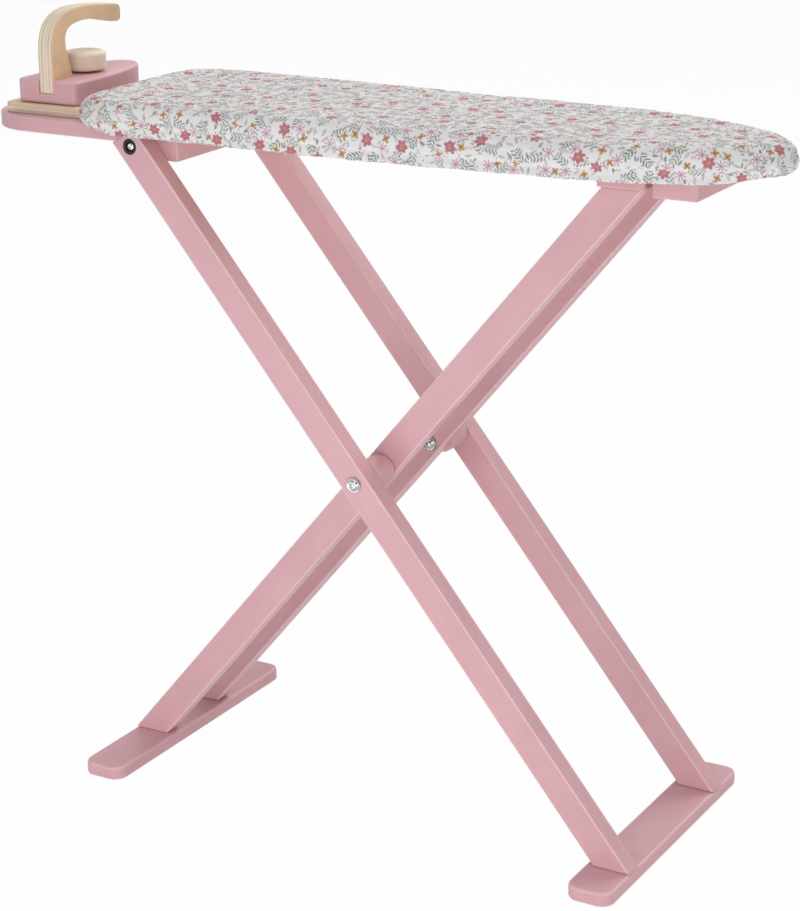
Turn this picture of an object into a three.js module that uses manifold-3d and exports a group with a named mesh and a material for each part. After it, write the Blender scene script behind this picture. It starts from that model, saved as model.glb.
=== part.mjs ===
// Wooden toy ironing board: a padded board on a scissor frame of four legs, with a loose toy iron.
// Millimetres, +Z up, +X towards the board's nose. The origin is on the floor under the middle of the object.
import * as THREE from "three";
import { mergeVertices } from "three/addons/utils/BufferGeometryUtils.js";
import Module from "manifold-3d";

const wasm = await Module();
wasm.setup();

// Clearance between two pieces that meet
const GAP = 0.3;

// Scissor frame, measured from the axis where the legs cross
const CROSS_HEIGHT = 259.9;
const CROSS_SLIDE = 2.2;
const PIVOT_HEIGHT = 480;
const PIVOT_REACH = 178.5;
const CROSSBAR_REACH = 184.4;
const BOARD_FOLD = THREE.MathUtils.degToRad(34);

// Legs
const OUTER_LEG_WIDTH = 21.4;
const OUTER_LEG_THICK = 15.1;
const OUTER_FACE_Y = 79.8;
const INNER_LEG_WIDTH = 22;
const INNER_LEG_THICK = 15;
const LEG_EASE = 1.2;
const LEG_END_CLEAR = 0.4;

// Feet and the crossbar of the inner frame
const FOOT_LENGTH = 226;
const FOOT_WIDTH = 34;
const FOOT_THICK = 10.4;
const FOOT_CORNER = 10;
const FOOT_EASE = 1.8;
const FOOT_INSET = 3;
const CROSSBAR_OVERHANG = 2.7;
const CROSSBAR_WIDTH = 34;
const CROSSBAR_THICK = 11.5;
const PLATE_EASE = 1;
const PLATE_CORNER = 1.5;

// Hardware at the crossing and at the board's pivot
const SPACER_LENGTH = 21.8;
const SPACER_DIAMETER = 24;
const SPACER_EASE = 1.6;
const BOLT_DIAMETER = 6;
const BOLT_HEAD = 10.8;
const BOLT_HEAD_HIGH = 2.4;
const BOLT_FLANGE_HIGH = 1.1;
const BOLT_BUTTON = 7.6;
const BOLT_CHAMFER = 0.4;
const SLEEVE_DIAMETER = 8.6;
const SLEEVE_LENGTH = 12;
const PIVOT_BOLT_DIAMETER = 4.6;
const PIVOT_HEAD = 6.4;
const PIVOT_HEAD_HIGH = 2.4;
const PIVOT_RECESS = 0.6;
const WASHER_DIAMETER = 11;
const WASHER_THICK = 1.2;
const WASHER_RECESS = 0.2;
const INSERT_DIAMETER = 8.6;
const INSERT_LENGTH = 20;
const HEX_ACROSS = 4.6;
const HEX_DEPTH = 1.8;
const PIVOT_HEX_ACROSS = 2.8;
const PIVOT_HEX_DEPTH = 1.4;

// Wood screws
const SCREW_HEAD = 7.2;
const SCREW_HEAD_DEEP = 2.4;
const SCREW_SHANK = 3.6;
const SCREW_TIP = 3;
const REST_SCREW = 15.5;
const BATTEN_SCREW = 22;
const FOOT_SCREW = 25;
const CROSSBAR_SCREW = 27;
const SOLE_SCREW = 13;
const SCREW_LEAN = 5;

// Board: plywood panel, foam padding and fabric cover with an elastic hem
const PIVOT_BELOW_PANEL = 10.3;
const PANEL_THICK = 9;
const PANEL_ROUND = 6;
const PADDING_THICK = 9.4;
const COVER_THICK = 1;
const COVER_CROWN = 0.8;
const COVER_ROUND = 8;
const CROWN_RUN = 7;
const ROUND_STEPS = 4;
const HEM_ROUND = 2.4;
const HEM_DROP = 4;
const HEM_LIP = 6;
const ELASTIC_THICK = 1.6;
const ELASTIC_WIDTH = 3.6;
const ELASTIC_INSET = 1.8;
const END_OVERHANG = 58.5;
const END_BESIDE_LEGS = 4.8;
const END_CORNER = 44;
const SHOULDER_HALF_WIDTH = 67.8;
const SHOULDER_RUN = 54;
const NOSE_OVERHANG = 49.6;
const NOSE_LENGTH = 119;
const NOSE_BLUNTNESS = 27;

// Battens and the iron rest under the board
const PIVOT_BATTEN_HIGH = 21.2;
const PIVOT_BATTEN_BACK = 16;
const PIVOT_BATTEN_FRONT = 30;
const STOP_CLEAR = 4.1;
const STOP_WIDTH = 31.9;
const STOP_THICK = 15.8;
const STOP_INSET = 25.8;
const REST_RIM = 17;
const REST_THICK = 10.8;
const REST_CORNER = 42;

// Toy iron, in its own frame: heel towards -Y, standing on Z = 0
const IRON_CLEAR = 0.5;
const SOLE_THICK = 7.2;
const SOLE_HALF_WIDTH = 36;
const SOLE_HEEL = -54;
const SOLE_TIP = 62;
const SOLE_CORNER = 6;
const SOLE_EASE = 0.6;
const BODY_HIGH = 17.2;
const BODY_HALF_WIDTH = 26.5;
const BODY_HEEL = -49;
const BODY_TIP = 55;
const BODY_CORNER = 4;
const BODY_EASE = 1.5;
const IRON_WAIST = -20;
const IRON_FULLNESS = 0.45;
const IRON_BLUNTNESS = 0.72;
const HANDLE_THICK = 13;
const HANDLE_TOP = 74.2;
const HANDLE_TIP = 36.5;
const HANDLE_BAR = 13;
const HANDLE_BEND = 31;
const HANDLE_SWELL = 3.6;
const HANDLE_NOSE = 8;
const STEM_FOOT = 23.5;
const STEM_WAIST = 17;
const SLOT_DEEP = 9.8;
const HANDLE_EASE = 0.9;
const KNOB_DIAMETER = 31.4;
const KNOB_HIGH = 13.7;
const KNOB_EASE = 2.6;
const KNOB_Y = -1.5;
const KNOB_LIFT = 1.4;
const AXLE_DIAMETER = 6;
const AXLE_HEAD = 12;
const AXLE_HEAD_HIGH = 3;
const AXLE_IN_KNOB = 8;

// Finishes
const paint = new THREE.MeshStandardMaterial({ color: 0xcf9ca6, roughness: 0.5, metalness: 0 });
const ply = new THREE.MeshStandardMaterial({ color: 0xd8b98c, roughness: 0.6, metalness: 0 });
const beech = new THREE.MeshStandardMaterial({ color: 0xe0cbb4, roughness: 0.55, metalness: 0 });
const cloth = new THREE.MeshStandardMaterial({ color: 0xe9e4e0, roughness: 0.9, metalness: 0 });
const foam = new THREE.MeshStandardMaterial({ color: 0xf2efe6, roughness: 1, metalness: 0 });
const elastic = new THREE.MeshStandardMaterial({ color: 0xf0eeea, roughness: 0.9, metalness: 0 });
const rubber = new THREE.MeshStandardMaterial({ color: 0x2b2c2e, roughness: 0.6, metalness: 0 });
const steel = new THREE.MeshStandardMaterial({ color: 0xb9bdc0, roughness: 0.3, metalness: 1 });

// Heights and places that follow from the sizes above
const pivotX = -PIVOT_REACH;
const panelUnder = PIVOT_HEIGHT + PIVOT_BELOW_PANEL;
const panelTop = panelUnder + PANEL_THICK;
const paddingTop = panelTop + GAP + PADDING_THICK;
const coverTop = paddingTop + GAP + COVER_THICK;
const hemBottom = panelUnder - HEM_DROP;
const seatUnderPanel = panelUnder - GAP;
const legBottom = FOOT_THICK + GAP;
const outerLegInside = OUTER_FACE_Y - OUTER_LEG_THICK;
const innerLegOutside = outerLegInside - SPACER_LENGTH - 2 * GAP;
const innerLegInside = innerLegOutside - INNER_LEG_THICK;
const battenHalf = outerLegInside - GAP;
const crossbarBottom = seatUnderPanel - CROSSBAR_THICK;
const outerAngle = Math.atan2(PIVOT_HEIGHT - CROSS_HEIGHT, PIVOT_REACH);
const axisX = CROSS_SLIDE * Math.cos(outerAngle);
const axisZ = CROSS_HEIGHT - CROSS_SLIDE * Math.sin(outerAngle);
const innerAngle = Math.atan2(crossbarBottom - CROSS_HEIGHT, CROSSBAR_REACH);
const restRight = pivotX - PIVOT_BATTEN_BACK - GAP;
const boardEnd = pivotX - END_OVERHANG;
const endHalfWidth = OUTER_FACE_Y + END_BESIDE_LEGS;
const stopLow = CROSSBAR_REACH + CROSSBAR_WIDTH / 2 + STOP_CLEAR;
const stopHalf = SHOULDER_HALF_WIDTH - STOP_INSET;
const noseTip = stopLow + STOP_WIDTH + NOSE_OVERHANG;
const shoulder = noseTip - NOSE_LENGTH;
const ironX = boardEnd - IRON_CLEAR - SOLE_HALF_WIDTH;
const restEnd = ironX - SOLE_HALF_WIDTH - REST_RIM;

const object = new THREE.Group();
object.position.x = -(restEnd + noseTip) / 2;

function add(name, geometry, material, parent = object) {
  const mesh = new THREE.Mesh(geometry, material);
  mesh.name = name;
  parent.add(mesh);
}

// A closed geometry as a solid that can be cut
function solid(geometry) {
  const bare = geometry.clone();
  bare.deleteAttribute("normal");
  bare.deleteAttribute("uv");
  const merged = mergeVertices(bare, 1e-4);
  const vertProperties = new Float32Array(merged.attributes.position.array);
  const triVerts = new Uint32Array(merged.index.array);
  return new wasm.Manifold(new wasm.Mesh({ numProp: 3, vertProperties, triVerts }));
}

function cut(geometry, tools) {
  let left = solid(geometry);
  for (const tool of tools) left = left.subtract(solid(tool));
  const mesh = left.getMesh();
  const result = new THREE.BufferGeometry();
  result.setAttribute("position", new THREE.BufferAttribute(mesh.vertProperties.slice(), 3));
  result.setIndex(new THREE.BufferAttribute(mesh.triVerts.slice(), 1));
  result.computeVertexNormals();
  return result;
}

// A flat plate with eased edges, its underside at Z = 0
function plate(shape, thick, ease, steps = 8) {
  const geometry = new THREE.ExtrudeGeometry(shape, {
    depth: thick - 2 * ease,
    bevelEnabled: ease > 0,
    bevelThickness: ease,
    bevelSize: ease,
    bevelOffset: -ease,
    bevelSegments: 2,
    curveSegments: steps,
  });
  return geometry.translate(0, 0, ease);
}

// A profile drawn in X and Z and extruded across the board, from yLow by its thickness
function upright(shape, thick, yLow, ease) {
  return plate(shape, thick, ease).rotateX(Math.PI / 2).translate(0, yLow + thick, 0);
}

function roundedRectangle(xLow, xHigh, yHalf, leftCorner, rightCorner) {
  const shape = new THREE.Shape();
  shape.moveTo(xLow + leftCorner, -yHalf);
  shape.lineTo(xHigh - rightCorner, -yHalf);
  shape.absarc(xHigh - rightCorner, -yHalf + rightCorner, rightCorner, -Math.PI / 2, 0, false);
  shape.absarc(xHigh - rightCorner, yHalf - rightCorner, rightCorner, 0, Math.PI / 2, false);
  shape.absarc(xLow + leftCorner, yHalf - leftCorner, leftCorner, Math.PI / 2, Math.PI, false);
  shape.absarc(xLow + leftCorner, -yHalf + leftCorner, leftCorner, Math.PI, 1.5 * Math.PI, false);
  return shape;
}

function polygon(points) {
  return new THREE.Shape(points.map(([x, y]) => new THREE.Vector2(x, y)));
}

// A round piece along Z from a profile of [radius, height] points that starts and ends on the axis
function turned(points, sides) {
  const profile = points.map(([radius, height]) => new THREE.Vector2(radius, height));
  return new THREE.LatheGeometry(profile, sides);
}

function box(x, y, z, low) {
  return new THREE.BoxGeometry(x, y, z).translate(low[0] + x / 2, low[1] + y / 2, low[2] + z / 2);
}

// Countersunk wood screw, its head's face at Z = 0 and its point at -length; clear widens it into its hole
function screw(length, clear = 0) {
  const head = SCREW_HEAD / 2 + clear;
  const shank = SCREW_SHANK / 2 + clear;
  const end = -length - clear;
  const profile = [
    [0, end],
    [shank / 3, end],
    [shank, end + SCREW_TIP],
    [shank, -SCREW_HEAD_DEEP - clear],
    [head, -clear],
    [head, 2 * clear],
    [0, 2 * clear],
  ];
  const kept = clear > 0 ? profile : profile.filter((point, i) => i !== 5);
  return turned(kept, 12).rotateX(Math.PI / 2);
}

function screwAt(length, place, upwards, clear = 0) {
  const geometry = screw(length, clear);
  if (upwards) geometry.rotateX(Math.PI);
  return geometry.translate(...place);
}

// Legs. An outer leg is cut flat under the panel, and its heel is rounded so that it can turn as it folds.
function outerLegShape() {
  const along = new THREE.Vector2(Math.cos(outerAngle), -Math.sin(outerAngle));
  const across = new THREE.Vector2(Math.sin(outerAngle), Math.cos(outerAngle));
  const pivot = new THREE.Vector2(pivotX, PIVOT_HEIGHT);
  const half = OUTER_LEG_WIDTH / 2;
  const endRadius = PIVOT_BELOW_PANEL - LEG_END_CLEAR;
  const onEdge = (side, height) => {
    const start = pivot.clone().addScaledVector(across, side * half);
    return start.clone().addScaledVector(along, (height - start.y) / along.y);
  };
  const heelAngle = Math.PI / 2 + BOARD_FOLD;
  const heel = new THREE.Vector2(Math.cos(heelAngle), Math.sin(heelAngle)).multiplyScalar(endRadius);
  const slope = new THREE.Vector2(-Math.sin(heelAngle), Math.cos(heelAngle));
  const run = (-half - heel.dot(across)) / slope.dot(across);
  const corner = pivot.clone().add(heel).addScaledVector(slope, run);
  const topRight = onEdge(1, PIVOT_HEIGHT + endRadius);
  const bottomRight = onEdge(1, legBottom);
  const bottomLeft = onEdge(-1, legBottom);
  const shape = new THREE.Shape();
  shape.moveTo(bottomRight.x, bottomRight.y);
  shape.lineTo(topRight.x, topRight.y);
  shape.lineTo(pivotX, PIVOT_HEIGHT + endRadius);
  shape.absarc(pivotX, PIVOT_HEIGHT, endRadius, Math.PI / 2, heelAngle, false);
  shape.lineTo(corner.x, corner.y);
  shape.lineTo(bottomLeft.x, bottomLeft.y);
  return shape;
}

function innerLegX(height) {
  return (height - CROSS_HEIGHT) / Math.tan(innerAngle);
}

function outerLegX(height) {
  return (CROSS_HEIGHT - height) / Math.tan(outerAngle);
}

function innerLegShape() {
  const half = INNER_LEG_WIDTH / 2 / Math.sin(innerAngle);
  const top = crossbarBottom - GAP;
  return polygon([
    [innerLegX(legBottom) - half, legBottom],
    [innerLegX(legBottom) + half, legBottom],
    [innerLegX(top) + half, top],
    [innerLegX(top) - half, top],
  ]);
}

// Bores run across the board, so a tool made along Z is laid along Y at the pivot or at the crossing
function acrossAt(geometry, x, z) {
  return geometry.translate(x, 0, z);
}

const footScrewX = (legX, lean) => legX + lean * SCREW_LEAN;
const outerFootX = outerLegX(legBottom);
const innerFootX = innerLegX(legBottom);
const outerMid = outerLegInside + OUTER_LEG_THICK / 2;
const innerMid = innerLegInside + INNER_LEG_THICK / 2;
const pivotSeat = OUTER_FACE_Y - PIVOT_RECESS - PIVOT_HEAD_HIGH;
const washerFace = pivotSeat - GAP;
const washerSeat = washerFace - WASHER_THICK;
const insertEnd = battenHalf - GAP;
const boltEnd = insertEnd - INSERT_LENGTH + PIVOT_BOLT_DIAMETER;
const sleeveEnd = innerLegInside + SLEEVE_LENGTH;

// A hex socket sunk into a head whose outer face is at the given distance along the bolt
function hexSocket(face, across = HEX_ACROSS, deep = HEX_DEPTH) {
  const corner = across / Math.sqrt(3);
  return new THREE.CylinderGeometry(corner, corner, 2 * deep, 6).translate(0, face, 0);
}

// Bolt across the board at the crossing: flanged button head on the outer leg, shank into the sleeve nut
function crossBolt() {
  const seat = OUTER_FACE_Y + GAP;
  const face = seat + BOLT_HEAD_HIGH;
  const end = innerLegInside + BOLT_DIAMETER / 2;
  const profile = [
    [0, end],
    [BOLT_DIAMETER / 2, end],
    [BOLT_DIAMETER / 2, seat],
    [BOLT_HEAD / 2, seat],
    [BOLT_HEAD / 2, seat + BOLT_FLANGE_HIGH - BOLT_CHAMFER],
    [BOLT_HEAD / 2 - BOLT_CHAMFER, seat + BOLT_FLANGE_HIGH],
    [BOLT_BUTTON / 2, seat + BOLT_FLANGE_HIGH],
    [BOLT_BUTTON / 2, face - BOLT_CHAMFER],
    [BOLT_BUTTON / 2 - BOLT_CHAMFER, face],
    [0, face],
  ];
  return cut(turned(profile, 24), [hexSocket(face)]);
}

// Sleeve nut sunk flush into the inside of the inner leg
function sleeveNut() {
  const seat = innerLegInside + BOLT_HEAD_HIGH;
  const face = innerLegInside;
  const bore = BOLT_DIAMETER / 2 + GAP;
  const profile = [
    [0, face],
    [BOLT_HEAD / 2 - BOLT_CHAMFER, face],
    [BOLT_HEAD / 2, face + BOLT_CHAMFER],
    [BOLT_HEAD / 2, seat],
    [SLEEVE_DIAMETER / 2, seat],
    [SLEEVE_DIAMETER / 2, sleeveEnd],
    [bore, sleeveEnd],
    [bore, innerLegInside + BOLT_DIAMETER / 2 - GAP],
    [0, innerLegInside + BOLT_DIAMETER / 2 - GAP],
  ];
  return cut(turned(profile, 24), [hexSocket(face)]);
}

function pivotBolt() {
  const face = pivotSeat + PIVOT_HEAD_HIGH;
  const profile = [
    [0, boltEnd],
    [PIVOT_BOLT_DIAMETER / 2, boltEnd],
    [PIVOT_BOLT_DIAMETER / 2, pivotSeat],
    [PIVOT_HEAD / 2, pivotSeat],
    [PIVOT_HEAD / 2, pivotSeat + PIVOT_HEAD_HIGH / 2],
    [PIVOT_HEAD / 2 - PIVOT_HEAD_HIGH / 2, face],
    [0, face],
  ];
  return cut(turned(profile, 20), [hexSocket(face, PIVOT_HEX_ACROSS, PIVOT_HEX_DEPTH)]);
}

function ring(outer, inner, low, high, ease, sides) {
  return turned([
    [inner, low],
    [outer - ease, low],
    [outer, low + ease],
    [outer, high - ease],
    [outer - ease, high],
    [inner, high],
    [inner, low],
  ], sides);
}

// Cup washer in the leg's pocket: a floor under the bolt's head and a rim flush with the leg
function cupWasher() {
  const ease = WASHER_THICK / 4;
  const outer = WASHER_DIAMETER / 2;
  const hollow = PIVOT_HEAD / 2 + GAP;
  const bore = PIVOT_BOLT_DIAMETER / 2 + GAP;
  const rim = OUTER_FACE_Y - WASHER_RECESS;
  return turned([
    [bore, washerSeat],
    [outer, washerSeat],
    [outer, rim - ease],
    [outer - ease, rim],
    [hollow + ease, rim],
    [hollow, rim - ease],
    [hollow, washerFace],
    [bore, washerFace],
    [bore, washerSeat],
  ], 28);
}

// The lathe turns about Y, which is the way the bolts run; the back copies are turned end for end
const sides = [["front", -1], ["back", 1]];
const toSide = (geometry, side) => (side < 0 ? geometry.rotateX(Math.PI) : geometry);
const boltHole = BOLT_DIAMETER + 2 * GAP;
const pivotBore = PIVOT_BOLT_DIAMETER + 2 * GAP;

for (const [place, side] of sides) {
  const outerLow = side < 0 ? -OUTER_FACE_Y : outerLegInside;
  const innerLow = side < 0 ? -innerLegOutside : innerLegInside;
  const crossHole = toSide(ring(boltHole / 2, 0, 0, OUTER_FACE_Y + GAP, 0, 20), side);
  const pivotHole = toSide(ring(pivotBore / 2, 0, 0, OUTER_FACE_Y + GAP, 0, 20), side);
  const headPocket = toSide(
    ring(WASHER_DIAMETER / 2 + GAP, 0, washerSeat - GAP, OUTER_FACE_Y + PIVOT_HEAD, 0, 24),
    side,
  );
  const sleeveHole = toSide(ring(SLEEVE_DIAMETER / 2 + GAP, 0, 0, innerLegOutside + GAP, 0, 20), side);
  const nutPocket = toSide(
    ring(BOLT_HEAD / 2 + GAP, 0, 0, innerLegInside + BOLT_HEAD_HIGH + GAP, 0, 24),
    side,
  );
  const outerScrew = [
    footScrewX(outerFootX, -1),
    side * outerMid,
    0,
  ];
  const innerScrew = [
    footScrewX(innerFootX, 1),
    side * innerMid,
    0,
  ];
  const crossbarScrew = [
    footScrewX(innerLegX(crossbarBottom), -1),
    side * innerMid,
    seatUnderPanel,
  ];
  add(`outer_leg_${place}`, cut(upright(outerLegShape(), OUTER_LEG_THICK, outerLow, LEG_EASE), [
    acrossAt(pivotHole, pivotX, PIVOT_HEIGHT),
    acrossAt(headPocket, pivotX, PIVOT_HEIGHT),
    acrossAt(crossHole.clone(), axisX, axisZ),
    screwAt(FOOT_SCREW, outerScrew, true, GAP),
  ]), paint);
  add(`inner_leg_${place}`, cut(upright(innerLegShape(), INNER_LEG_THICK, innerLow, LEG_EASE), [
    acrossAt(sleeveHole, axisX, axisZ),
    acrossAt(nutPocket, axisX, axisZ),
    screwAt(FOOT_SCREW, innerScrew, true, GAP),
    screwAt(CROSSBAR_SCREW, crossbarScrew, false, GAP),
  ]), paint);
  const spacer = ring(
    SPACER_DIAMETER / 2,
    boltHole / 2,
    innerLegOutside + GAP,
    outerLegInside - GAP,
    SPACER_EASE,
    28,
  );
  add(`spacer_${place}`, acrossAt(toSide(spacer, side), axisX, axisZ), paint);
  add(`cross_bolt_${place}`, acrossAt(toSide(crossBolt(), side), axisX, axisZ), steel);
  add(`cross_nut_${place}`, acrossAt(toSide(sleeveNut(), side), axisX, axisZ), steel);
  add(`pivot_bolt_${place}`, acrossAt(toSide(pivotBolt(), side), pivotX, PIVOT_HEIGHT), steel);
  add(`pivot_washer_${place}`, acrossAt(toSide(cupWasher(), side), pivotX, PIVOT_HEIGHT), rubber);
  const insert = ring(INSERT_DIAMETER / 2, pivotBore / 2, insertEnd - INSERT_LENGTH, insertEnd, 0.5, 16);
  add(`pivot_insert_${place}`, acrossAt(toSide(insert, side), pivotX, PIVOT_HEIGHT), steel);
  add(`outer_foot_screw_${place}`, screwAt(FOOT_SCREW, outerScrew, true), steel);
  add(`inner_foot_screw_${place}`, screwAt(FOOT_SCREW, innerScrew, true), steel);
  add(`crossbar_screw_${place}`, screwAt(CROSSBAR_SCREW, crossbarScrew, false), steel);
}

// Feet and crossbar: flat plates screwed across the ends of the legs
function foot(middle, screwX, legMid) {
  const outline = roundedRectangle(
    middle - FOOT_WIDTH / 2,
    middle + FOOT_WIDTH / 2,
    FOOT_LENGTH / 2,
    FOOT_CORNER,
    FOOT_CORNER,
  );
  return cut(plate(outline, FOOT_THICK, FOOT_EASE, 6), [
    screwAt(FOOT_SCREW, [screwX, -legMid, 0], true, GAP),
    screwAt(FOOT_SCREW, [screwX, legMid, 0], true, GAP),
  ]);
}

add("outer_foot", foot(outerFootX - FOOT_INSET, footScrewX(outerFootX, -1), outerMid), paint);
add("inner_foot", foot(innerFootX + FOOT_INSET, footScrewX(innerFootX, 1), innerMid), paint);

const crossbarOutline = roundedRectangle(
  CROSSBAR_REACH - CROSSBAR_WIDTH / 2,
  CROSSBAR_REACH + CROSSBAR_WIDTH / 2,
  innerLegOutside + CROSSBAR_OVERHANG,
  PLATE_CORNER,
  PLATE_CORNER,
);
const crossbarHoles = [-innerMid, innerMid].map((y) =>
  screwAt(CROSSBAR_SCREW, [footScrewX(innerLegX(crossbarBottom), -1), y, seatUnderPanel], false, GAP),
);
add(
  "inner_crossbar",
  cut(plate(crossbarOutline, CROSSBAR_THICK, PLATE_EASE, 2).translate(0, 0, crossbarBottom), crossbarHoles),
  paint,
);

// Outline of the covered board seen from above: square end with round corners, tapering to a rounded nose
function boardShape() {
  const shape = new THREE.Shape();
  const control = shoulder + SHOULDER_RUN;
  const taper = (endHalfWidth - SHOULDER_HALF_WIDTH) / (shoulder - boardEnd);
  const cornerY = endHalfWidth - taper * END_CORNER;
  const controlY = SHOULDER_HALF_WIDTH - taper * SHOULDER_RUN;
  shape.moveTo(boardEnd + END_CORNER, -cornerY);
  shape.lineTo(shoulder, -SHOULDER_HALF_WIDTH);
  shape.bezierCurveTo(control, -controlY, noseTip, -NOSE_BLUNTNESS, noseTip, 0);
  shape.bezierCurveTo(noseTip, NOSE_BLUNTNESS, control, controlY, shoulder, SHOULDER_HALF_WIDTH);
  shape.lineTo(boardEnd + END_CORNER, cornerY);
  shape.quadraticCurveTo(boardEnd, endHalfWidth, boardEnd, endHalfWidth - END_CORNER);
  shape.lineTo(boardEnd, -endHalfWidth + END_CORNER);
  shape.quadraticCurveTo(boardEnd, -endHalfWidth, boardEnd + END_CORNER, -cornerY);
  return shape;
}

const boardOutline = boardShape().getPoints(10).slice(0, -1);

// The outline drawn in by a distance along its own normals
function insetOutline(distance) {
  const count = boardOutline.length;
  return boardOutline.map((point, i) => {
    const before = boardOutline[(i + count - 1) % count];
    const after = boardOutline[(i + 1) % count];
    const along = after.clone().sub(point).normalize().add(point.clone().sub(before).normalize()).normalize();
    return new THREE.Vector2(point.x - along.y * distance, point.y + along.x * distance);
  });
}

// A closed body through rings of equal count, from [inset, height] rows, capped at both ends
function loft(rows) {
  const rings = rows.map(([inset]) => insetOutline(inset));
  const count = rings[0].length;
  const positions = [];
  rings.forEach((points, row) => points.forEach((p) => positions.push(p.x, p.y, rows[row][1])));
  const index = [];
  for (let row = 0; row + 1 < rings.length; row++) {
    for (let i = 0; i < count; i++) {
      const a = row * count + i;
      const b = row * count + ((i + 1) % count);
      index.push(a, b, b + count, a, b + count, a + count);
    }
  }
  const last = (rings.length - 1) * count;
  for (const [a, b, c] of THREE.ShapeUtils.triangulateShape(rings[0], [])) index.push(a, c, b);
  for (const [a, b, c] of THREE.ShapeUtils.triangulateShape(rings[rings.length - 1], [])) {
    index.push(last + a, last + b, last + c);
  }
  const geometry = new THREE.BufferGeometry();
  geometry.setAttribute("position", new THREE.Float32BufferAttribute(positions, 3));
  geometry.setIndex(index);
  geometry.computeVertexNormals();
  return geometry;
}

// Rows of a rounded upper edge, ending in the crown of the ironing surface
function roundedTop(inset, top, radius) {
  const rows = [];
  for (let step = 0; step <= ROUND_STEPS; step++) {
    const angle = (step / ROUND_STEPS) * (Math.PI / 2);
    rows.push([inset + radius * (1 - Math.cos(angle)), top - COVER_CROWN - radius * (1 - Math.sin(angle))]);
  }
  rows.push([inset + radius + CROWN_RUN, top]);
  return rows;
}

// Rows of a rounded lower edge, from the flat underside up to the side
function roundedUnder(inset, low, radius) {
  const rows = [];
  for (let step = 0; step <= ROUND_STEPS; step++) {
    const angle = (step / ROUND_STEPS) * (Math.PI / 2);
    rows.push([inset + radius * (1 - Math.sin(angle)), low + radius * (1 - Math.cos(angle))]);
  }
  return rows;
}

const panelInset = COVER_THICK + GAP;
const paddingRound = COVER_ROUND - panelInset;

// Panel, rounded over along its lower edge, with countersunk holes over its battens
const stopX = stopLow + STOP_WIDTH / 2;
const pivotBattenMid = pivotX + (PIVOT_BATTEN_FRONT - PIVOT_BATTEN_BACK) / 2;
const pivotScrewRow = [-1, 0, 1].map((i) => [pivotBattenMid, i * battenHalf / 2, panelTop]);
const stopScrewRow = [-1, 1].map((i) => [stopX, i * stopHalf * 0.66, panelTop]);
const restScrewX = [boardEnd + SCREW_HEAD * 2, restRight - SCREW_HEAD * 1.5];
const restScrewRow = restScrewX.flatMap((x) =>
  [-1, 1].map((i) => [x, i * battenHalf * 0.6, seatUnderPanel - REST_THICK]),
);
const downHoles = [...pivotScrewRow, ...stopScrewRow].map((p) => screwAt(BATTEN_SCREW, p, false, GAP));
const upHoles = restScrewRow.map((p) => screwAt(REST_SCREW, p, true, GAP));
add("board_panel", cut(loft([
  ...roundedUnder(panelInset, panelUnder, PANEL_ROUND),
  [panelInset, panelTop - PLATE_EASE],
  [panelInset + PLATE_EASE, panelTop],
]), [...downHoles, ...upHoles]), ply);

// Foam padding, crowned and rounded along its upper edge
add("board_padding", loft([
  [panelInset, panelTop + GAP],
  ...roundedTop(panelInset, paddingTop, paddingRound),
]), foam);

// Fabric cover: one skin over the padding, down the sides and turned in under the panel as a hem.
// The hem is open over the iron rest and beside the outer legs.
const coverSkin = loft([
  ...roundedTop(COVER_THICK, paddingTop + GAP, COVER_ROUND - COVER_THICK).reverse(),
  [COVER_THICK, hemBottom + COVER_THICK],
  [HEM_LIP, hemBottom + COVER_THICK],
  [HEM_LIP, hemBottom],
  [HEM_ROUND, hemBottom],
  [HEM_ROUND * 0.3, hemBottom + HEM_ROUND * 0.3],
  [0, hemBottom + HEM_ROUND],
  ...roundedTop(0, coverTop, COVER_ROUND),
]);
const legSlotHalf = OUTER_LEG_WIDTH * 0.75;
const legSlotEnd = pivotX + legSlotHalf;
const hemOpening = box(
  2 * legSlotHalf,
  2 * (OUTER_FACE_Y + GAP),
  HEM_DROP,
  [pivotX - legSlotHalf, -OUTER_FACE_Y - GAP, hemBottom - COVER_THICK],
);
const restDoor = box(
  pivotX - boardEnd + COVER_THICK,
  2 * (battenHalf + 2 * GAP),
  HEM_DROP + COVER_THICK,
  [boardEnd - COVER_THICK, -battenHalf - 2 * GAP, hemBottom - COVER_THICK],
);
add("board_cover", cut(coverSkin, [hemOpening, restDoor]), cloth);

// Flat elastic in the hem, from one outer leg round the nose to the other
const elasticOuter = insetOutline(ELASTIC_INSET).filter((p) => p.x > legSlotEnd + GAP);
const elasticInner = insetOutline(ELASTIC_INSET + ELASTIC_WIDTH).filter((p) => p.x > legSlotEnd + GAP);
const taperAt = (x, inset) => {
  const taper = (endHalfWidth - SHOULDER_HALF_WIDTH) / (shoulder - boardEnd);
  return endHalfWidth - taper * (x - boardEnd) - inset;
};
const elasticStart = legSlotEnd + 2 * GAP;
const elasticShape = new THREE.Shape([
  new THREE.Vector2(elasticStart, -taperAt(elasticStart, ELASTIC_INSET)),
  ...elasticOuter,
  new THREE.Vector2(elasticStart, taperAt(elasticStart, ELASTIC_INSET)),
  new THREE.Vector2(elasticStart, taperAt(elasticStart, ELASTIC_INSET + ELASTIC_WIDTH)),
  ...elasticInner.reverse(),
  new THREE.Vector2(elasticStart, -taperAt(elasticStart, ELASTIC_INSET + ELASTIC_WIDTH)),
]);
const elasticLow = hemBottom + COVER_THICK + GAP;
add("hem_elastic", plate(elasticShape, ELASTIC_THICK, 0).translate(0, 0, elasticLow), elastic);

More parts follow.
